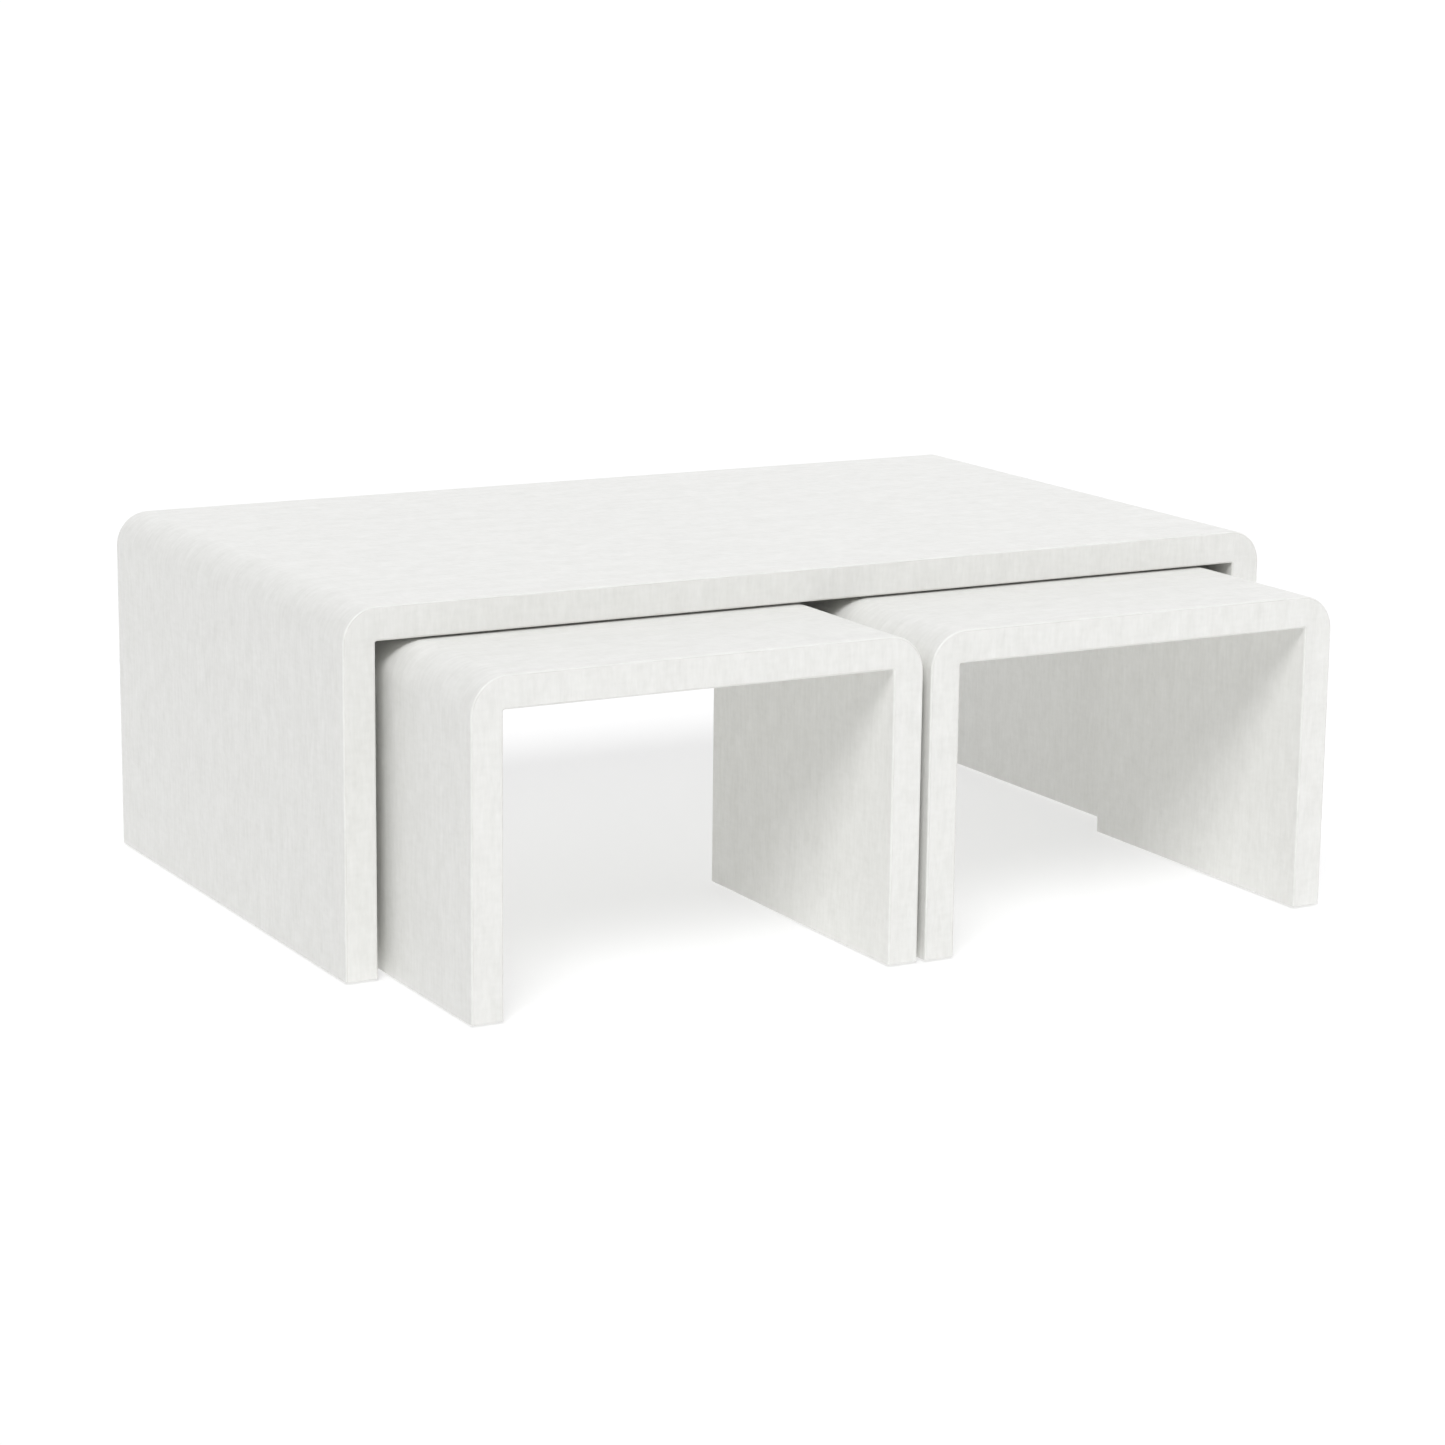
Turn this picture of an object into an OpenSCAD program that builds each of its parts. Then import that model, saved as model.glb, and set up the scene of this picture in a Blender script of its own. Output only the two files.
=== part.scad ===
// Set of three nesting tables. Each is an upside-down U of thick board: a top between two
// full-depth legs, with a rounded outer corner and a square inner one. Two small tables
// stand side by side under a large one and slide out of its open front.
// X is along the large table, Y from front to back, Z up. The origin is on the floor, in
// the middle of the space that the whole set covers as it stands.

/* [Large table] */
// Length along X
large_w = 1320; // [1310:1:1500]
// Depth from front to back
large_d = 762; // [740:1:900]
// Height of the top above the floor
large_h = 457; // [456:1:520]
// Thickness of the top and of each leg, cloth included
large_t = 42; // [36:1:44]
// Radius of the outer corners
large_r = 44; // [44:1:60]

/* [Small tables] */
// Width of each small table along X
small_w = 600; // [520:1:600]
// Depth from front to back
small_d = 450; // [300:1:600]
// Height of the tops above the floor
small_h = 412; // [340:1:412]
// Thickness of the top and of each leg, cloth included
small_t = 41; // [36:1:42]
// Radius of the outer corners
small_r = 47; // [42:1:60]

/* [Places] */
// Middle of the left small table, to the left of the large table's middle
small_a_x = 300; // [298:1:312]
// Middle of the right small table, to the right of the large table's middle
small_b_x = 310; // [304:1:312]
// How far the left small table's front stands ahead of the large table's
pull_a = 224; // [0:1:450]
// How far the right small table's front stands ahead of the large table's
pull_b = 226; // [0:1:450]

/* [Cloth] */
// Thickness of the glued cloth with its lacquer
skin = 1.5; // [0.8:0.1:2]

/* [Glides] */
// Height of a glide, which is the gap under a leg
glide_h = 3; // [2:0.5:6]
// Radius of a glide
glide_r = 11; // [9:0.5:14]
// Distance of a glide's centre from the front and the back
glide_inset = 60; // [40:5:100]

/* [Dowels] */
// Radius of a dowel
dowel_r = 5; // [4:0.5:6]
// Depth of a dowel in the corner block
dowel_in_block = 24; // [18:1:24]
// Depth of a dowel in the top or the leg
dowel_in_panel = 36; // [24:1:40]
// Wanted distance between dowels along a joint
dowel_pitch = 150; // [90:10:200]

/* [Hidden] */
$fn = 96;
dowel_gap = 0.05;  // around a dowel in its bore
dowel_end = 1;     // past each end of a dowel
nail_r = 1.45;
nail_gap = 0.05;   // around the shank in the board and the cloth
nail_length = 25;
nail_head_r = 4;
nail_head_h = 1.2;
nail_sunk = 0.2;   // from the floor up to the nail's head
sink_r = 4.2;      // of the glide's counterbore
glide_bevel = 0.8;
eps = 0.5;         // how far a cutter runs past a face

cloth_colour = "#efefed";
board_colour = "#b79b72";
block_colour = "#d9c08f";
dowel_colour = "#e3cf9f";
glide_colour = "#e9e7e0";
nail_colour = "#a9adb0";

// A table is [name, width, depth, height over its glides, thickness, corner radius, x, front y].
large_y = -large_d / 2 + max(pull_a, pull_b) / 2;
LARGE = ["large", large_w, large_d, large_h - glide_h, large_t, large_r, 0, large_y];
SMALL_A = ["small_a", small_w, small_d, small_h - glide_h, small_t, small_r,
           -small_a_x, large_y - pull_a];
SMALL_B = ["small_b", small_w, small_d, small_h - glide_h, small_t, small_r,
           small_b_x, large_y - pull_b];
TABLES = [LARGE, SMALL_A, SMALL_B];
function name(t) = t[0];
function width(t) = t[1];
function depth(t) = t[2];
function height(t) = t[3];
function thick(t) = t[4];
function radius(t) = t[5];
function middle_x(t) = t[6];
function front_y(t) = t[7];

PARTS = ["top_panel", "left_leg_panel", "right_leg_panel", "left_corner_block",
         "right_corner_block", "dowels", "outer_wrap", "inner_wrap", "front_edge_wrap",
         "back_edge_wrap", "foot_wraps", "glides", "glide_nails"];

// Where the dowels stand along Y: those into the top, and between them those into the legs.
function dowel_count(t) = max(3, round(depth(t) / dowel_pitch));
function top_dowels(t) = [for (i = [0:dowel_count(t) - 1]) depth(t) * (i + 0.5) / dowel_count(t)];
function leg_dowels(t) = [for (i = [1:dowel_count(t) - 1]) depth(t) * i / dowel_count(t)];
function glide_places(t) = [for (side = [-1, 1]) for (y = [glide_inset, depth(t) - glide_inset])
                            [side * (width(t) - thick(t)) / 2, y]];

// Moves a table from its own frame, with the front at y = 0 and the feet at z = 0, to its place.
module place(t) { translate([middle_x(t), front_y(t), glide_h]) children(); }

// Its children are drawn for the left side, -1, and come out mirrored for the right side, 1.
module on_side(side) { scale([-side, 1, 1]) children(); }

// A quarter of a tube around the left corner's centre line, from y0 to y1.
module quarter(t, r_in, r_out, y0, y1) {
    translate([-width(t) / 2 + radius(t), y1, height(t) - radius(t)])
        rotate([90, 0, 0])
            rotate_extrude(angle = 90, start = 90)
                translate([r_in, 0])
                    square([r_out - r_in, y1 - y0]);
}

// One box from its low corner to its high corner.
module block(low, high) { translate(low) cube(high - low); }

// A bent sheet over both legs, both rounded corners and the top, from y0 to y1.
module bent_sheet(t, sheet, y0, y1) {
    w = width(t) / 2;
    h = height(t);
    r = radius(t);
    for (side = [-1, 1]) on_side(side) {
        block([-w, y0, 0], [-w + sheet, y1, h - r]);
        quarter(t, r - sheet, r, y0, y1);
    }
    block([-w + r, y0, h - sheet], [w - r, y1, h]);
}

// The rounded corner's solid, square inside, between the outer cloth and the inner cloth.
module corner_solid(t, cover, y0, y1) {
    r = radius(t);
    inner = thick(t) - cover;
    corner = [-width(t) / 2, 0, height(t)];
    difference() {
        quarter(t, 0, r - cover, y0, y1);
        translate(corner) block([inner, y0 - eps, -r - eps], [r + eps, y1 + eps, -inner]);
    }
}

// Round bars along X for the dowels between corner block and top, or for their bores.
module top_dowel_set(t, r, in_block, in_panel) {
    for (y = top_dowels(t))
        translate([-width(t) / 2 + radius(t) - in_block, y, height(t) - thick(t) / 2])
            rotate([0, 90, 0])
                cylinder(r = r, h = in_block + in_panel);
}

// Round bars along Z for the dowels between corner block and leg, or for their bores.
module leg_dowel_set(t, r, in_block, in_panel) {
    for (y = leg_dowels(t))
        translate([-width(t) / 2 + thick(t) / 2, y, height(t) - radius(t) - in_panel])
            cylinder(r = r, h = in_block + in_panel);
}

module nail_bores(t) {
    for (p = glide_places(t))
        translate([p.x, p.y, -eps])
            cylinder(r = nail_r + nail_gap, h = nail_length + eps);
}

module top_panel(t) {
    edge = width(t) / 2 - radius(t);
    color(board_colour) difference() {
        block([-edge, skin, height(t) - thick(t) + skin], [edge, depth(t) - skin, height(t) - skin]);
        for (side = [-1, 1]) on_side(side)
            top_dowel_set(t, dowel_r + dowel_gap, eps, dowel_in_panel + dowel_end);
    }
}

module leg_panel(t, side) {
    w = width(t) / 2;
    color(board_colour) difference() {
        on_side(side) difference() {
            block([-w + skin, skin, skin],
                  [-w + thick(t) - skin, depth(t) - skin, height(t) - radius(t)]);
            leg_dowel_set(t, dowel_r + dowel_gap, eps, dowel_in_panel + dowel_end);
        }
        nail_bores(t);
    }
}

module corner_block(t, side) {
    color(block_colour) on_side(side) difference() {
        corner_solid(t, skin, skin, depth(t) - skin);
        top_dowel_set(t, dowel_r + dowel_gap, dowel_in_block + dowel_end, eps);
        leg_dowel_set(t, dowel_r + dowel_gap, dowel_in_block + dowel_end, eps);
    }
}

module dowels(t) {
    color(dowel_colour) for (side = [-1, 1]) on_side(side) {
        top_dowel_set(t, dowel_r, dowel_in_block, dowel_in_panel);
        leg_dowel_set(t, dowel_r, dowel_in_block, dowel_in_panel);
    }
}

module outer_wrap(t) {
    color(cloth_colour) bent_sheet(t, skin, skin, depth(t) - skin);
}

module inner_wrap(t) {
    w = width(t) / 2 - thick(t) + skin;
    ceiling = height(t) - thick(t);
    color(cloth_colour) {
        for (side = [-1, 1]) on_side(side)
            block([-w, skin, 0], [-w + skin, depth(t) - skin, ceiling]);
        block([-w, skin, ceiling], [w, depth(t) - skin, ceiling + skin]);
    }
}

module edge_wrap(t, y0) {
    w = width(t) / 2;
    h = height(t);
    color(cloth_colour) {
        for (side = [-1, 1]) on_side(side) {
            block([-w, y0, 0], [-w + thick(t), y0 + skin, h - radius(t)]);
            corner_solid(t, 0, y0, y0 + skin);
        }
        block([-w + radius(t), y0, h - thick(t)], [w - radius(t), y0 + skin, h]);
    }
}

module foot_wraps(t) {
    w = width(t) / 2;
    color(cloth_colour) difference() {
        for (side = [-1, 1]) on_side(side)
            block([-w + skin, skin, 0], [-w + thick(t) - skin, depth(t) - skin, skin]);
        nail_bores(t);
    }
}

module glides(t) {
    head = nail_sunk + nail_head_h;
    color(glide_colour) for (p = glide_places(t))
        translate([p.x, p.y, -glide_h])
            rotate_extrude()
                polygon([[nail_r + nail_gap, glide_h], [glide_r, glide_h], [glide_r, glide_bevel],
                         [glide_r - glide_bevel, 0], [sink_r, 0], [sink_r, head],
                         [nail_r + nail_gap, head]]);
}

module glide_nails(t) {
    color(nail_colour) for (p = glide_places(t))
        translate([p.x, p.y, -glide_h + nail_sunk]) {
            cylinder(r = nail_head_r, h = nail_head_h);
            cylinder(r = nail_r, h = nail_length);
        }
}

for (t = TABLES) place(t) {
    top_panel(t);
    leg_panel(t, -1);
    leg_panel(t, 1);
    corner_block(t, -1);
    corner_block(t, 1);
    dowels(t);
    outer_wrap(t);
    inner_wrap(t);
    edge_wrap(t, 0);
    edge_wrap(t, depth(t) - skin);
    foot_wraps(t);
    glides(t);
    glide_nails(t);
}
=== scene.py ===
import math

import bmesh
import bpy
from mathutils import Matrix, Vector


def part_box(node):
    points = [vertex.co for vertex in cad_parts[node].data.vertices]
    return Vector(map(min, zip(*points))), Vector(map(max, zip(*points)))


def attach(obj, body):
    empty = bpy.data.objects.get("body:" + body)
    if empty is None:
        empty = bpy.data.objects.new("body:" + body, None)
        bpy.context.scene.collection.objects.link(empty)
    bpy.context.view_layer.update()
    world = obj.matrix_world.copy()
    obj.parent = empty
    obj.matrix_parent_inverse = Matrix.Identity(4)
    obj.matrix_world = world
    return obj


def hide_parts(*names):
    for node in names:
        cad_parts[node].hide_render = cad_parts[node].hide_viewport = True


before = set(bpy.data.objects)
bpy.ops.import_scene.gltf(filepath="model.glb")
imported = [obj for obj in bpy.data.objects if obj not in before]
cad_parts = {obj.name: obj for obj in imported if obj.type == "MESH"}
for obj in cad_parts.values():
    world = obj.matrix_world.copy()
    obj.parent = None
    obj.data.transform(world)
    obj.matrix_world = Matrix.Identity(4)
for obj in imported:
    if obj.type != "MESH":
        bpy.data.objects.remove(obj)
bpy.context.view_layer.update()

# Three nesting tables, each an upside-down U of board in lacquered linen. Every size and place
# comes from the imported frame; this script makes the cloth, the feet, the finishes and the light.

MM = 0.001
TABLES = {"large": "large_table", "small_a": "small_table_a", "small_b": "small_table_b"}

# ---------------------------------------------------------------- camera

CAMERA_PLACE = (-2.3884, -4.3133, 1.2941)
CAMERA_TURN = 28.94      # degrees to the right of +Y
CAMERA_TILT = -12.46     # degrees above the horizon
CAMERA_ROLL = 0.655      # degrees, right side up
CAMERA_LENS = 95.22      # mm
SENSOR_WIDTH = 36        # mm
FARTHEST = 200           # metres, past the floor's far edge


def make_camera():
    turn, tilt, roll = (math.radians(a) for a in (CAMERA_TURN, CAMERA_TILT, CAMERA_ROLL))
    ahead = Vector((math.sin(turn) * math.cos(tilt), math.cos(turn) * math.cos(tilt), math.sin(tilt)))
    level = Vector((math.cos(turn), -math.sin(turn), 0))
    upright = level.cross(ahead)
    right = level * math.cos(roll) + upright * math.sin(roll)
    up = upright * math.cos(roll) - level * math.sin(roll)
    data = bpy.data.cameras.new("camera")
    data.lens = CAMERA_LENS
    data.sensor_width = SENSOR_WIDTH
    data.clip_end = FARTHEST
    camera = bpy.data.objects.new("camera", data)
    bpy.context.scene.collection.objects.link(camera)
    facing = Matrix((right, up, -ahead)).transposed().to_4x4()
    camera.matrix_world = Matrix.Translation(CAMERA_PLACE) @ facing
    bpy.context.scene.camera = camera


make_camera()

# ---------------------------------------------------------------- nodes and colours


def linear(code):
    """An sRGB hex colour as linear red, green, blue and alpha."""
    values = [int(code[i:i + 2], 16) / 255 for i in (1, 3, 5)]
    return (*(v / 12.92 if v <= 0.04045 else ((v + 0.055) / 1.055) ** 2.4 for v in values), 1.0)


def add(tree, kind, inputs=None, **settings):
    """Adds a node; inputs maps an input's name or number to a value or to another node's output."""
    new = tree.nodes.new(kind)
    for key, value in settings.items():
        setattr(new, key, value)
    for key, value in (inputs or {}).items():
        if isinstance(value, bpy.types.NodeSocket):
            tree.links.new(value, new.inputs[key])
        else:
            new.inputs[key].default_value = value
    return new


def maths(tree, operation, *values):
    return add(tree, "ShaderNodeMath", dict(enumerate(values)), operation=operation).outputs[0]


def vectors(tree, operation, inputs):
    return add(tree, "ShaderNodeVectorMath", inputs, operation=operation).outputs[0]


def remap(tree, value, low, high, to_low=0.0, to_high=1.0):
    """The value, stretched from one range to another and kept within it."""
    return add(tree, "ShaderNodeMapRange",
               {0: value, 1: low, 2: high, 3: to_low, 4: to_high}).outputs[0]


def new_material(name):
    """An empty material with its principled shader already joined to the output."""
    material = bpy.data.materials.new(name)
    material.use_nodes = True
    tree = material.node_tree
    tree.nodes.clear()
    shader = tree.nodes.new("ShaderNodeBsdfPrincipled")
    add(tree, "ShaderNodeOutputMaterial", {"Surface": shader.outputs[0]})
    return material, tree, shader


# ---------------------------------------------------------------- materials


def mottled(tree, place, size, detail, roughness=0.5):
    """Noise whose patches have about the given size: one length, or one for each axis."""
    sizes = size if isinstance(size, tuple) else (size, size, size)
    scaled = add(tree, "ShaderNodeMapping", {"Vector": place, "Scale": [1 / length for length in sizes]})
    return add(tree, "ShaderNodeTexNoise", {"Vector": scaled.outputs[0], "Scale": 1.0,
                                            "Detail": detail, "Roughness": roughness})


def toned(tree, tone, dark, pale, start=0.0, end=1.0):
    """A colour from dark, where tone is start or less, to pale, where it is end or more."""
    ramp = add(tree, "ShaderNodeValToRGB", {0: tone})
    for stop, position, code in zip(ramp.color_ramp.elements, (start, end), (dark, pale)):
        stop.position = position
        stop.color = linear(code)
    return ramp.outputs[0]


def embossed(tree, shader, height, depth, strength):
    """Shades the surface as if it stood up by depth, in metres, where height is 1."""
    bump = add(tree, "ShaderNodeBump", {"Strength": strength, "Distance": depth, "Height": height})
    tree.links.new(bump.outputs[0], shader.inputs["Normal"])


THREAD = 1.4 * MM                   # spacing of the threads; the cloth's own 0.7 mm is too fine to show
WANDER = 9.0                        # how far the threads wander, in radians of their pattern
YARN = (12 * MM, 1.6 * MM)          # length and width of the streaks that single yarns make
SLUB = (28 * MM, 6 * MM)            # a thick place in a yarn, with the yarns beside it that it lifts
CROSS_SLUB = (6 * MM, 20 * MM)      # the same in the yarns that run across
BAND = (220 * MM, 22 * MM)          # yarn from one bobbin, a shade lighter or darker than the next
CLOUD = (40 * MM, 30 * MM)          # the soft cloudiness that brushed lacquer leaves
SEAM_SHADE_LENGTH = 40 * MM               # how far the darker hairline at a cloth's cut edge, partly painted shade, stays the same

# What each layer adds to the cloth's tone and to its relief, beside the slubs, which count 1.
CROSS_SHARE = 0.6
YARN_SHARE = 0.6
BAND_SHARE = 0.5
CLOUD_SHARE = 0.8
WEAVE_SHARE = 0.09
YARN_RELIEF = 0.5
WEAVE_RELIEF = 0.22
TONE_RANGE = (1.2, 2.3)  # what the layers of the tone add up to
SEAM_SHADE_RANGE = (0.4, 0.6)  # of the noise that breaks the hairline of dark joint and painted shade
SLUB_RANGE = (0.5, 1.0)  # from the ground between the slubs to their crests
GROUND_ROUGHNESS = 0.52
SLUB_ROUGHNESS = 0.42    # lacquer lies a little glossier on the slubs


def lacquered_linen():
    """Slubby plain-woven linen, glued down, painted white and sealed under satin lacquer: faint
    soft streaks along the yarns, a slight cloudiness, a sheen that shows the threads at a low
    angle, and a broken darker hairline where two cloths meet, partly the dark joint and partly
    painted shade in the seam that dims the highlight on the arris. The weave attribute is the
    place on the cloth in metres, first along the streaks, then across them; rim is 1 at a cut edge."""
    material, tree, shader = new_material("woven_linen_under_satin_lacquer")
    place = add(tree, "ShaderNodeAttribute", attribute_name="weave").outputs["Vector"]
    rim = add(tree, "ShaderNodeAttribute", attribute_name="rim").outputs["Fac"]

    def streaks(size, detail=2, output="Fac"):
        return mottled(tree, place, (*size, 1.0), detail, roughness=0.55).outputs[output]

    def plus(base, layer, weight):
        return maths(tree, "MULTIPLY_ADD", layer, weight, base)

    # Plain weave: each thread goes over and under its neighbours, so bumps stand in a chequer. The
    # threads wander, because linen yarn is uneven.
    angle = vectors(tree, "SCALE", {0: place, "Scale": math.pi / THREAD})
    wander = vectors(tree, "SCALE", {0: streaks(SLUB, output="Color"), "Scale": WANDER})
    split = add(tree, "ShaderNodeSeparateXYZ", {0: vectors(tree, "ADD", {0: angle, 1: wander})})
    waves = [maths(tree, "SINE", split.outputs[i]) for i in (0, 1)]
    weave = maths(tree, "MULTIPLY", *waves)

    yarns = streaks(YARN)
    slubs = plus(streaks(SLUB), streaks(CROSS_SLUB), CROSS_SHARE)
    tone = plus(slubs, yarns, YARN_SHARE)
    tone = plus(tone, streaks(BAND), BAND_SHARE)
    tone = plus(tone, streaks(CLOUD, detail=3), CLOUD_SHARE)
    tone = plus(tone, weave, WEAVE_SHARE)
    white = toned(tree, remap(tree, tone, *TONE_RANGE), "#e2e2de", "#f1f1ee")

    # The darker hairline along a cloth's cut edge: partly the dark joint between two cloths, partly painted
    # shade in the seam, which also dims the highlight along the arris.
    broken = remap(tree, streaks((SEAM_SHADE_LENGTH, 1.0)), *SEAM_SHADE_RANGE)
    seam_shade = maths(tree, "MULTIPLY", rim, broken)
    seam_shade_colour = add(tree, "ShaderNodeMix", {"Factor": seam_shade, 6: white, 7: linear("#b3afa3")}, data_type="RGBA")
    tree.links.new(seam_shade_colour.outputs[2], shader.inputs["Base Color"])

    rough = remap(tree, slubs, *SLUB_RANGE, GROUND_ROUGHNESS, SLUB_ROUGHNESS)
    tree.links.new(rough, shader.inputs["Roughness"])
    height = plus(plus(slubs, yarns, YARN_RELIEF), weave, WEAVE_RELIEF)
    embossed(tree, shader, height, depth=0.3 * MM, strength=0.35)
    shader.inputs["IOR"].default_value = 1.48
    shader.inputs["Coat Weight"].default_value = 0.12
    shader.inputs["Coat Roughness"].default_value = 0.35
    return material


def grained_wood(name, pale, dark, ring, stretch, axis):
    """Planed wood: grain lines a ring apart, stretched along one axis, pale early wood and darker
    late wood."""
    material, tree, shader = new_material(name)
    place = add(tree, "ShaderNodeTexCoord").outputs["Object"]
    size = [ring] * 3
    size[axis] = ring * stretch
    grain = mottled(tree, place, tuple(size), detail=5, roughness=0.65).outputs[0]
    tone = toned(tree, grain, dark, pale, start=0.35, end=0.62)
    tree.links.new(tone, shader.inputs["Base Color"])
    embossed(tree, shader, grain, depth=0.1 * MM, strength=0.3)
    shader.inputs["Roughness"].default_value = 0.6
    return material


def fibreboard():
    """Pressed medium-density fibreboard: even brown felted fibres, dull all over."""
    material, tree, shader = new_material("pressed_fibreboard")
    place = add(tree, "ShaderNodeTexCoord").outputs["Object"]
    fibres = mottled(tree, place, 1.5 * MM, detail=4).outputs[0]
    clouds = mottled(tree, place, 25 * MM, detail=2).outputs[0]
    both = maths(tree, "MULTIPLY", fibres, clouds)
    tone = toned(tree, both, "#977449", "#c19d6e", start=0.12, end=0.4)
    tree.links.new(tone, shader.inputs["Base Color"])
    embossed(tree, shader, fibres, depth=0.1 * MM, strength=0.4)
    shader.inputs["Roughness"].default_value = 0.85
    return material


def moulded_nylon():
    """Injection-moulded natural nylon: milky off-white, satin, with a faint flow mottle."""
    material, tree, shader = new_material("moulded_natural_nylon")
    place = add(tree, "ShaderNodeTexCoord").outputs["Object"]
    mottle = mottled(tree, place, 4 * MM, detail=3).outputs[0]
    tree.links.new(toned(tree, mottle, "#d9d5c8", "#ece9df"), shader.inputs["Base Color"])
    embossed(tree, shader, mottle, depth=0.05 * MM, strength=0.2)
    shader.inputs["Roughness"].default_value = 0.42
    shader.inputs["IOR"].default_value = 1.53
    return material


def zinc_plated_steel():
    """Drawn steel nail with bright zinc plate: grey metal with fine drawing scratches."""
    material, tree, shader = new_material("zinc_plated_drawn_steel")
    place = add(tree, "ShaderNodeTexCoord").outputs["Object"]
    scratches = mottled(tree, place, (0.4 * MM, 0.4 * MM, 8 * MM), detail=3).outputs[0]
    tree.links.new(toned(tree, scratches, "#8d9194", "#b9bdbf"), shader.inputs["Base Color"])
    rough = remap(tree, scratches, 0.0, 1.0, to_low=0.25, to_high=0.45)
    tree.links.new(rough, shader.inputs["Roughness"])
    shader.inputs["Metallic"].default_value = 1.0
    return material


LINEN = lacquered_linen()
BOARD = fibreboard()
POPLAR = grained_wood("planed_poplar", "#dcc795", "#b89f6a", ring=3 * MM, stretch=14, axis=1)
BEECH = grained_wood("turned_beech", "#e3cc9b", "#c6a873", ring=1.2 * MM, stretch=10, axis=2)
NYLON = moulded_nylon()
STEEL = zinc_plated_steel()

# ---------------------------------------------------------------- geometry node trees

WELD = 0.01 * MM         # points nearer to each other than this are made one


def new_tree(name, inputs, takes_geometry=False):
    """An empty geometry tree with named inputs, given as (name, kind of socket)."""
    tree = bpy.data.node_groups.new(name, "GeometryNodeTree")
    if takes_geometry:
        tree.interface.new_socket("Geometry", in_out="INPUT", socket_type="NodeSocketGeometry")
    for label, kind in [*inputs, ("Material", "Material")]:
        tree.interface.new_socket(label, in_out="INPUT", socket_type="NodeSocket" + kind)
    tree.interface.new_socket("Geometry", in_out="OUTPUT", socket_type="NodeSocketGeometry")
    return tree, tree.nodes.new("NodeGroupInput").outputs


def store(tree, geometry, name, value, kind="FLOAT"):
    """The geometry with a value kept at each of its points under a name."""
    return add(tree, "GeometryNodeStoreNamedAttribute", {"Geometry": geometry, "Name": name, "Value": value},
               data_type=kind, domain="POINT").outputs[0]


def end_tree(tree, given, geometry):
    """The tree's last nodes: instances made real, and the material."""
    real = add(tree, "GeometryNodeRealizeInstances", {"Geometry": geometry})
    painted = add(tree, "GeometryNodeSetMaterial",
                  {"Geometry": real.outputs[0], "Material": given["Material"]})
    add(tree, "NodeGroupOutput", {"Geometry": painted.outputs[0]})


def filleted(tree, corners, scale, move, radius, steps):
    """An open line through four corners of a unit square, stretched, moved and rounded."""
    line = add(tree, "GeometryNodeCurvePrimitiveQuadrilateral",
               {f"Point {i + 1}": corner for i, corner in enumerate(corners)}, mode="POINTS")
    opened = add(tree, "GeometryNodeSetSplineCyclic", {"Geometry": line.outputs[0], "Cyclic": False})
    sized = add(tree, "GeometryNodeTransform",
                {"Geometry": opened.outputs[0], "Scale": scale, "Translation": move})
    return add(tree, "GeometryNodeFilletCurve",
               {"Curve": sized.outputs[0], "Radius": radius, "Count": steps}, mode="POLY").outputs[0]


def vector(tree, x=0.0, y=0.0, z=0.0):
    return add(tree, "ShaderNodeCombineXYZ", {0: x, 1: y, 2: z}).outputs[0]


def bent_cloth_tree():
    """A sheet bent over an upside-down U, its front and back edges turned over the board's edge.
    Turn is 1 where the edges turn to the inside of the U, and -1 where they turn outwards."""
    tree, given = new_tree("bent_cloth", [
        ("Middle", "Float"), ("Front", "Float"), ("Foot", "Float"), ("Width", "Float"), ("Height", "Float"),
        ("Depth", "Float"), ("Corner radius", "Float"), ("Corner steps", "Int"), ("Edge radius", "Float"),
        ("Edge steps", "Int"), ("Turn", "Float"), ("Flip", "Bool"), ("Seed", "Float")])
    path = filleted(tree, ((-0.5, 0, 0), (-0.5, 0, 1), (0.5, 0, 1), (0.5, 0, 0)),
                    vector(tree, given["Width"], 1.0, given["Height"]),
                    vector(tree, given["Middle"], given["Front"], given["Foot"]),
                    given["Corner radius"], given["Corner steps"])
    length = add(tree, "GeometryNodeSplineParameter").outputs["Length"]
    turned = maths(tree, "MULTIPLY", given["Edge radius"], given["Turn"])
    section = filleted(tree, ((1, 0, 0), (0, 0, 0), (0, 1, 0), (1, 1, 0)),
                       vector(tree, turned, given["Depth"], 1.0), (0, 0, 0),
                       given["Edge radius"], given["Edge steps"])
    ends = add(tree, "GeometryNodeCurveEndpointSelection", {"Start Size": 1, "End Size": 1})
    swept = add(tree, "GeometryNodeCurveToMesh",
                {"Curve": store(tree, path, "along", length),
                 "Profile Curve": store(tree, section, "rim", ends.outputs[0])})
    merged = add(tree, "GeometryNodeMergeByDistance", {"Geometry": swept.outputs[0], "Distance": WELD})
    along = add(tree, "GeometryNodeInputNamedAttribute", {"Name": "along"}, data_type="FLOAT").outputs[0]
    y = add(tree, "ShaderNodeSeparateXYZ", {0: add(tree, "GeometryNodeInputPosition").outputs[0]}).outputs[1]
    placed = store(tree, merged.outputs[0], "weave", vector(tree, along, y, given["Seed"]), "FLOAT_VECTOR")
    cleaned = add(tree, "GeometryNodeRemoveAttribute", {"Geometry": placed, "Name": "along"})
    faced = add(tree, "GeometryNodeFlipFaces", {"Mesh": cleaned.outputs[0], "Selection": given["Flip"]})
    smooth = add(tree, "GeometryNodeSetShadeSmooth", {"Geometry": faced.outputs[0]})
    end_tree(tree, given, smooth.outputs[0])
    return tree


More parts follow.
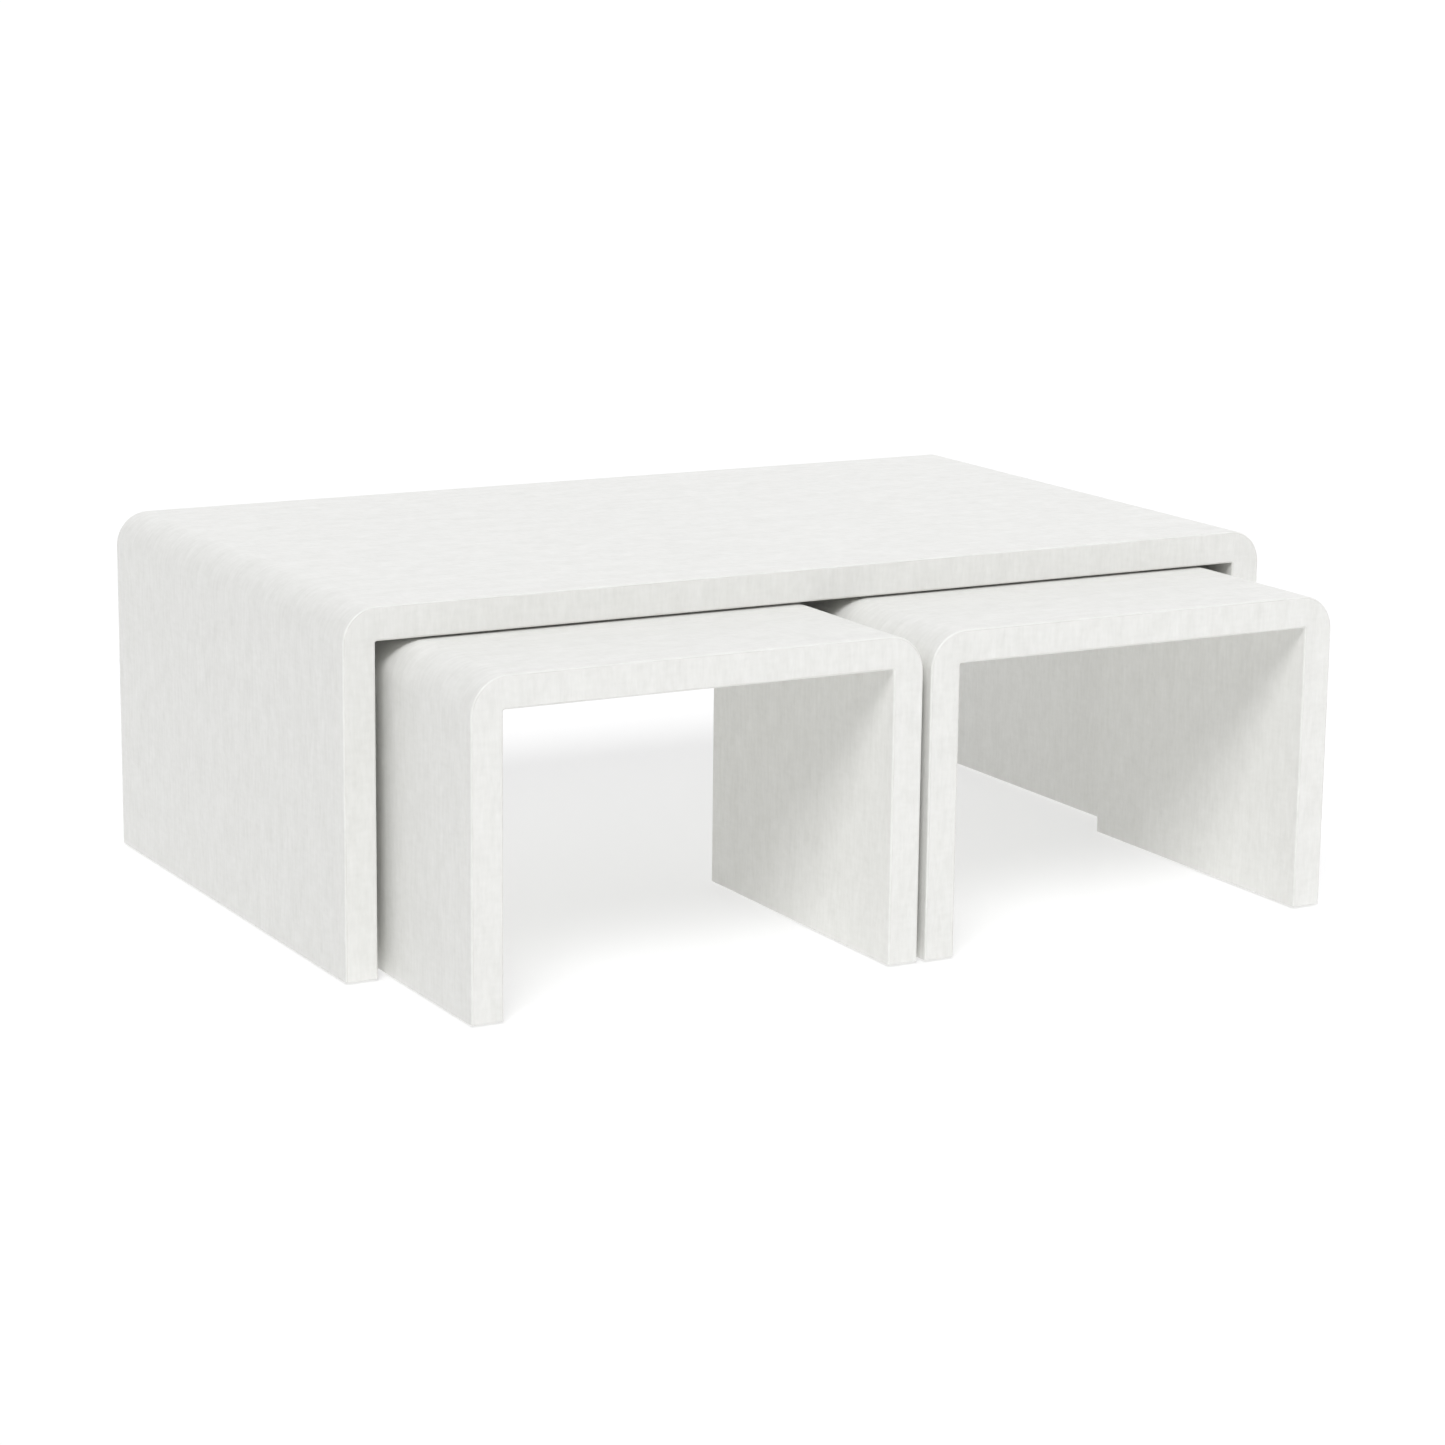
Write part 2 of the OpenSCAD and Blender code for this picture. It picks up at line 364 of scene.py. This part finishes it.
def edge_cloth_tree():
    """A flat strip that covers the board's edge: the outline that is given, its corners rounded
    by the radius of each point, filled and stood upright at Place."""
    tree, given = new_tree("edge_cloth", [("Place", "Float"), ("Corner steps", "Int"), ("Flip", "Bool"),
                                          ("Seed", "Float")], takes_geometry=True)
    rounding = add(tree, "GeometryNodeInputRadius").outputs[0]
    outline = add(tree, "GeometryNodeFilletCurve",
                  {"Curve": given["Geometry"], "Radius": rounding, "Count": given["Corner steps"]},
                  mode="POLY")
    filled = add(tree, "GeometryNodeFillCurve", {"Curve": outline.outputs[0]}, mode="NGONS")
    upright = add(tree, "GeometryNodeTransform",
                  {"Geometry": filled.outputs[0], "Rotation": (math.pi / 2, 0, 0),
                   "Translation": vector(tree, 0.0, given["Place"], 0.0)})
    split = add(tree, "ShaderNodeSeparateXYZ", {0: add(tree, "GeometryNodeInputPosition").outputs[0]}).outputs
    placed = store(tree, upright.outputs[0], "weave",
                   vector(tree, split[2], split[0], given["Seed"]), "FLOAT_VECTOR")
    faced = add(tree, "GeometryNodeFlipFaces", {"Mesh": placed, "Selection": given["Flip"]})
    end_tree(tree, given, faced.outputs[0])
    return tree


def four_places(tree, given):
    """One point at each foot, from the spans between them and their middle."""
    grid = add(tree, "GeometryNodeMeshGrid", {"Size X": given["Span X"], "Size Y": given["Span Y"],
                                              "Vertices X": 2, "Vertices Y": 2})
    return add(tree, "GeometryNodeTransform", {"Geometry": grid.outputs[0], "Translation": given["Middle"]})


FEET = [("Middle", "Vector"), ("Span X", "Float"), ("Span Y", "Float")]
ROUND = 40               # sides of a small round piece
RIM_STEPS = 4            # of the rounding of a glide's rim


def glide_tree():
    """Four glides: a moulded ring with rounded rims, closed above by a web that holds the nail."""
    tree, given = new_tree("four_glides", [*FEET, ("Radius", "Float"), ("Bore", "Float"), ("Height", "Float"),
                                           ("Web", "Float"), ("Rim", "Float")])
    wide = maths(tree, "SUBTRACT", given["Radius"], given["Bore"])
    total = maths(tree, "ADD", given["Radius"], given["Bore"])
    middle = maths(tree, "MULTIPLY", total, 0.5)
    ring = add(tree, "GeometryNodeCurvePrimitiveCircle", {"Resolution": ROUND, "Radius": middle})
    wall = add(tree, "GeometryNodeCurvePrimitiveQuadrilateral", {"Width": wide, "Height": given["Height"]})
    rim = add(tree, "GeometryNodeFilletCurve",
              {"Curve": wall.outputs[0], "Radius": given["Rim"], "Count": RIM_STEPS}, mode="POLY")
    body = add(tree, "GeometryNodeCurveToMesh", {"Curve": ring.outputs[0], "Profile Curve": rim.outputs[0]})
    web = add(tree, "GeometryNodeMeshCylinder",
              {"Vertices": ROUND, "Radius": given["Bore"], "Depth": given["Web"]})
    drop = maths(tree, "SUBTRACT", given["Height"], given["Web"])
    half = maths(tree, "MULTIPLY", drop, 0.5)
    raised = add(tree, "GeometryNodeTransform",
                 {"Geometry": web.outputs[0], "Translation": vector(tree, 0.0, 0.0, half)})
    joined = add(tree, "GeometryNodeJoinGeometry", {"Geometry": body.outputs[0]})
    tree.links.new(raised.outputs[0], joined.inputs[0])
    feet = add(tree, "GeometryNodeInstanceOnPoints",
               {"Points": four_places(tree, given).outputs[0], "Instance": joined.outputs[0]})
    end_tree(tree, given, feet.outputs[0])
    return tree


def nail_tree():
    """Four nails, heads down: a flat head, a drawn shank and a point."""
    tree, given = new_tree("four_nails", [*FEET, ("Head radius", "Float"), ("Head height", "Float"),
                                          ("Shank radius", "Float"), ("Shank length", "Float")])
    head = add(tree, "GeometryNodeMeshCone",
               {"Vertices": ROUND, "Radius Bottom": given["Head radius"],
                "Radius Top": given["Head radius"], "Depth": given["Head height"]})
    shank = add(tree, "GeometryNodeMeshCylinder",
                {"Vertices": ROUND // 2, "Radius": given["Shank radius"], "Depth": given["Shank length"]})
    point = add(tree, "GeometryNodeMeshCone",
                {"Vertices": ROUND // 2, "Radius Bottom": given["Shank radius"],
                 "Depth": given["Head radius"]})
    half = maths(tree, "MULTIPLY", given["Shank length"], 0.5)
    middle = maths(tree, "ADD", half, given["Head height"])
    tip = maths(tree, "ADD", given["Shank length"], given["Head height"])
    joined = add(tree, "GeometryNodeJoinGeometry", {"Geometry": head.outputs[0]})
    for piece, height in ((shank, middle), (point, tip)):
        moved = add(tree, "GeometryNodeTransform",
                    {"Geometry": piece.outputs[0], "Translation": vector(tree, 0.0, 0.0, height)})
        tree.links.new(moved.outputs[0], joined.inputs[0])
    feet = add(tree, "GeometryNodeInstanceOnPoints",
               {"Points": four_places(tree, given).outputs[0], "Instance": joined.outputs[0]})
    end_tree(tree, given, feet.outputs[0])
    return tree


TREES = {"bent": bent_cloth_tree(), "edge": edge_cloth_tree(), "glides": glide_tree(), "nails": nail_tree()}

# ---------------------------------------------------------------- making pieces

SHARP = 50               # degrees between faces that meet in a crisp edge


def grown(name, tree, values, start=None, thickness=0.0):
    """The tree's result as a plain mesh object. start is the data that the tree takes in, and
    thickness makes a closed wall of an open sheet, behind its face."""
    data = start or bpy.data.meshes.new(name + "_start")
    source = bpy.data.objects.new(name + "_start", data)
    bpy.context.scene.collection.objects.link(source)
    grow = source.modifiers.new("grow", "NODES")
    grow.node_group = tree
    for item in tree.interface.items_tree:
        if item.item_type == "SOCKET" and item.in_out == "INPUT" and item.name in values:
            grow[item.identifier] = values[item.name]
    mesh = bpy.data.meshes.new_from_object(source.evaluated_get(bpy.context.evaluated_depsgraph_get()))
    bpy.data.objects.remove(source)
    piece = bpy.data.objects.new(name, mesh)
    bpy.context.scene.collection.objects.link(piece)
    if thickness:
        wall = piece.modifiers.new("wall", "SOLIDIFY")
        wall.thickness = thickness
        wall.offset = -1
        bake(piece)
    return piece


def bake(piece):
    """Turns a piece's modifiers into its mesh."""
    mesh = bpy.data.meshes.new_from_object(piece.evaluated_get(bpy.context.evaluated_depsgraph_get()))
    piece.modifiers.clear()
    piece.data = mesh


def dress(piece, body, node):
    """Shading that keeps flats flat beside rounded edges; then the piece's body and the node it replaces."""
    for polygon in piece.data.polygons:
        polygon.use_smooth = True
    piece.data.set_sharp_from_angle(angle=math.radians(SHARP))
    weighted = piece.modifiers.new("weighted", "WEIGHTED_NORMAL")
    weighted.keep_sharp = True
    bake(piece)
    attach(piece, body)
    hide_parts(node)


# ---------------------------------------------------------------- a table's sizes

CLOTH = 1.2 * MM         # the cloth's own thickness, a little under the room that it has
EDGE_RADIUS = 2.4 * MM   # of the soft arris where the cloth turns over the board's edge
INNER_RADIUS = 2.5 * MM  # of the cloth pressed into the square inner corners
FOOT_RADIUS = 1.5 * MM   # of the arris round the foot of a leg
CORNER_STEPS = 20        # of the table's rounded corners
CREASE_STEPS = 4         # of the inner corners
EDGE_STEPS = 5           # of the arris
FOOT_STEPS = 4           # of the arris round the foot
FOOT_CORNER_STEPS = 6    # of the foot's upright corners
FOOT_SHARE = 0.98        # of the foot cloth's height that its arris takes, so that no face closes up


def measure(name):
    """A table's outside sizes, from its CAD nodes."""
    front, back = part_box(name + "_front_edge_wrap"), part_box(name + "_back_edge_wrap")
    inner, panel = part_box(name + "_inner_wrap"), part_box(name + "_top_panel")
    low, high = front[0], back[1]
    skin = front[1].y - front[0].y
    return {
        "low": low, "high": high,
        "middle": (low.x + high.x) / 2,
        "width": high.x - low.x, "depth": high.y - low.y,
        "foot": low.z, "top": high.z,
        "thick": inner[0].x + skin - low.x,
        "radius": panel[0].x - low.x,
    }


# ---------------------------------------------------------------- cloth


def bent_cloth(name, t, seed, inside):
    """The cloth over a table's outside, or under its top and down the inside of its legs."""
    lower = t["foot"] + FOOT_RADIUS
    inset = t["thick"] if inside else 0.0
    ceiling = t["top"] - inset
    return grown(name, TREES["bent"], {
        "Middle": t["middle"], "Front": t["low"].y, "Foot": lower,
        "Width": t["width"] - 2 * inset, "Height": ceiling - lower, "Depth": t["depth"],
        "Corner radius": INNER_RADIUS if inside else t["radius"],
        "Corner steps": CREASE_STEPS if inside else CORNER_STEPS,
        "Edge radius": EDGE_RADIUS, "Edge steps": EDGE_STEPS,
        "Turn": -1.0 if inside else 1.0, "Flip": not inside,
        "Seed": seed, "Material": LINEN,
    }, thickness=CLOTH)


def edge_outline(name, t):
    """The flat part of the board's edge, as a closed line whose points carry their rounding."""
    r = EDGE_RADIUS
    lower = t["foot"] + FOOT_RADIUS
    outer, inner = t["width"] / 2 - r, t["width"] / 2 - t["thick"] + r
    top, ceiling = t["top"] - r, t["top"] - t["thick"] + r
    bend, crease = t["radius"] - r, INNER_RADIUS + r
    corners = [(-outer, lower, 0), (-outer, top, bend), (outer, top, bend), (outer, lower, 0),
               (inner, lower, 0), (inner, ceiling, crease), (-inner, ceiling, crease), (-inner, lower, 0)]
    curve = bpy.data.curves.new(name + "_outline", "CURVE")
    curve.dimensions = "3D"
    line = curve.splines.new("POLY")
    line.points.add(len(corners) - 1)
    line.use_cyclic_u = True
    for point, (x, z, rounding) in zip(line.points, corners):
        point.co = (t["middle"] + x, z, 0, 1)
        point.radius = rounding
    return curve


def edge_cloth(name, t, seed, place, at_back):
    return grown(name, TREES["edge"], {
        "Place": place, "Corner steps": CORNER_STEPS, "Flip": at_back, "Seed": seed, "Material": LINEN,
    }, start=edge_outline(name, t), thickness=CLOTH)


def bevel(mesh, edges, radius, steps):
    bmesh.ops.bevel(mesh, geom=list(edges), offset=radius, segments=steps, profile=0.5, affect="EDGES")


def foot_cloth(name, t, seed):
    """The cloth under both legs, its edges turned up all round."""
    mesh = bmesh.new()
    size = Vector((t["thick"], t["depth"], FOOT_RADIUS))
    for side in (-1, 1):
        middle = Vector((t["middle"] + side * (t["width"] - t["thick"]) / 2,
                         (t["low"].y + t["high"].y) / 2, t["foot"] + FOOT_RADIUS / 2))
        place = Matrix.LocRotScale(middle, None, size)
        points = bmesh.ops.create_cube(mesh, size=1.0, matrix=place)["verts"]
        upright = {e for v in points for e in v.link_edges
                   if abs(e.verts[0].co.z - e.verts[1].co.z) > FOOT_RADIUS / 2}
        bevel(mesh, upright, EDGE_RADIUS, FOOT_CORNER_STEPS)
    # The edges round the underside, each between the flat underside and an upright face.
    under = {e for e in mesh.edges if all(v.co.z < t["foot"] + FOOT_RADIUS / 2 for v in e.verts)
             and sum(abs(f.normal.z) < 0.5 for f in e.link_faces) == 1}
    bevel(mesh, under, FOOT_RADIUS * FOOT_SHARE, FOOT_STEPS)
    bmesh.ops.recalc_face_normals(mesh, faces=mesh.faces)
    data = bpy.data.meshes.new(name)
    mesh.to_mesh(data)
    mesh.free()
    weave = data.attributes.new("weave", "FLOAT_VECTOR", "POINT")
    for vertex, value in zip(data.vertices, weave.data):
        value.vector = (vertex.co.y, vertex.co.x, seed)
    data.materials.append(LINEN)
    piece = bpy.data.objects.new(name, data)
    bpy.context.scene.collection.objects.link(piece)
    return piece


def clothe(name, body, t, seed):
    """All the cloth of one table, each piece with the flat size that it was cut to."""

    def sheet(piece, replaced):
        dress(piece, body, f"{name}_{replaced}")

    sheet(bent_cloth(name + "_outer_cloth", t, seed, False), "outer_wrap")
    sheet(bent_cloth(name + "_inner_cloth", t, seed + 1, True), "inner_wrap")
    for end, place, at_back in (("front", t["low"].y, False), ("back", t["high"].y, True)):
        piece = edge_cloth(f"{name}_{end}_edge_cloth", t, seed + 2 + at_back, place, at_back)
        sheet(piece, f"{end}_edge_wrap")
    sheet(foot_cloth(name + "_foot_cloth", t, seed + 4), "foot_wraps")


# ---------------------------------------------------------------- feet

BORE = 4.2 * MM          # radius of the glide's recess for the nail's head
HEAD = 4.0 * MM          # radius of the nail's head
SHANK = 1.45 * MM        # radius of its shank
HEAD_HEIGHT = 1.2 * MM
SUNK = 0.2 * MM          # how far the nail's head stays off the floor
GLIDE_RIM = 0.7 * MM     # rounding of a glide's rims


def shoe(name, body, t):
    """Four glides under a table's legs, and their nails."""
    low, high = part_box(name + "_glides")
    nail_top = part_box(name + "_glide_nails")[1].z
    height = high.z - low.z
    radius = t["low"].x + t["thick"] / 2 - low.x
    spans = {"Span X": high.x - low.x - 2 * radius, "Span Y": high.y - low.y - 2 * radius}
    middle = (low + high) / 2
    glides = grown(name + "_glide_set", TREES["glides"], {
        **spans, "Middle": middle, "Radius": radius, "Bore": BORE, "Height": height,
        "Web": height - SUNK - HEAD_HEIGHT, "Rim": GLIDE_RIM, "Material": NYLON})
    dress(glides, body, name + "_glides")
    nails = grown(name + "_nail_set", TREES["nails"], {
        **spans, "Middle": Vector((middle.x, middle.y, low.z + SUNK)), "Head radius": HEAD,
        "Head height": HEAD_HEIGHT, "Shank radius": SHANK,
        "Shank length": nail_top - low.z - SUNK - HEAD_HEIGHT - HEAD, "Material": STEEL})
    dress(nails, body, name + "_glide_nails")


def finish_wood(name):
    """The boards, blocks and dowels inside, which keep their CAD shapes."""
    for part, material in (("top_panel", BOARD), ("left_leg_panel", BOARD), ("right_leg_panel", BOARD),
                           ("left_corner_block", POPLAR), ("right_corner_block", POPLAR), ("dowels", BEECH)):
        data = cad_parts[f"{name}_{part}"].data
        data.materials.clear()
        data.materials.append(material)


for seed, (table, body) in enumerate(TABLES.items()):
    sizes = measure(table)
    clothe(table, body, sizes, 10.0 * seed)
    shoe(table, body, sizes)
    finish_wood(table)

# ---------------------------------------------------------------- floor and light

FLOOR_SIZE = 160         # metres, so that its far edge is above the view
FLOOR_GREY = "#bcbcbc"
FLOOR_GLOW = 0.51        # the floor is a light table, so the shadows on it stay pale
SKY = 0.55               # light from all round
SKY_LEAN = (0.85, 0.52, 0.0)        # the side that it comes from most
KEY = 2.08               # the soft light above the left front
KEY_FROM = Vector((-0.40, -0.53, 0.74))
KEY_SPREAD = 26          # degrees
DAYLIGHT = (0.990, 0.990, 1.0)      # colour of both


def make_floor():
    mesh = bpy.data.meshes.new("floor")
    half = FLOOR_SIZE / 2
    corners = [(-half, -half, 0), (half, -half, 0), (half, half, 0), (-half, half, 0)]
    mesh.from_pydata(corners, [], [(0, 1, 2, 3)])
    material, _, shader = new_material("matt_white_floor")
    shader.inputs["Base Color"].default_value = linear(FLOOR_GREY)
    shader.inputs["Roughness"].default_value = 0.9
    shader.inputs["Specular IOR Level"].default_value = 0.1
    shader.inputs["Emission Color"].default_value = (1, 1, 1, 1)
    shader.inputs["Emission Strength"].default_value = FLOOR_GLOW
    mesh.materials.append(material)
    floor = bpy.data.objects.new("floor", mesh)
    bpy.context.scene.collection.objects.link(floor)


def make_light():
    world = bpy.data.worlds.new("studio")
    bpy.context.scene.world = world
    world.use_nodes = True
    tree = world.node_tree
    sky = tree.nodes["Background"]
    sky.inputs["Color"].default_value = (*DAYLIGHT, 1)
    way = add(tree, "ShaderNodeTexCoord").outputs["Generated"]
    lean = add(tree, "ShaderNodeVectorMath", {0: way, 1: SKY_LEAN}, operation="DOT_PRODUCT").outputs["Value"]
    tree.links.new(maths(tree, "MULTIPLY_ADD", lean, SKY, SKY), sky.inputs["Strength"])
    data = bpy.data.lights.new("key", "SUN")
    data.energy = KEY
    data.color = DAYLIGHT
    data.angle = math.radians(KEY_SPREAD)
    key = bpy.data.objects.new("key", data)
    bpy.context.scene.collection.objects.link(key)
    key.rotation_mode = "QUATERNION"
    key.rotation_quaternion = KEY_FROM.to_track_quat("Z", "Y")
    bpy.context.scene.view_settings.view_transform = "Standard"


make_floor()
make_light()
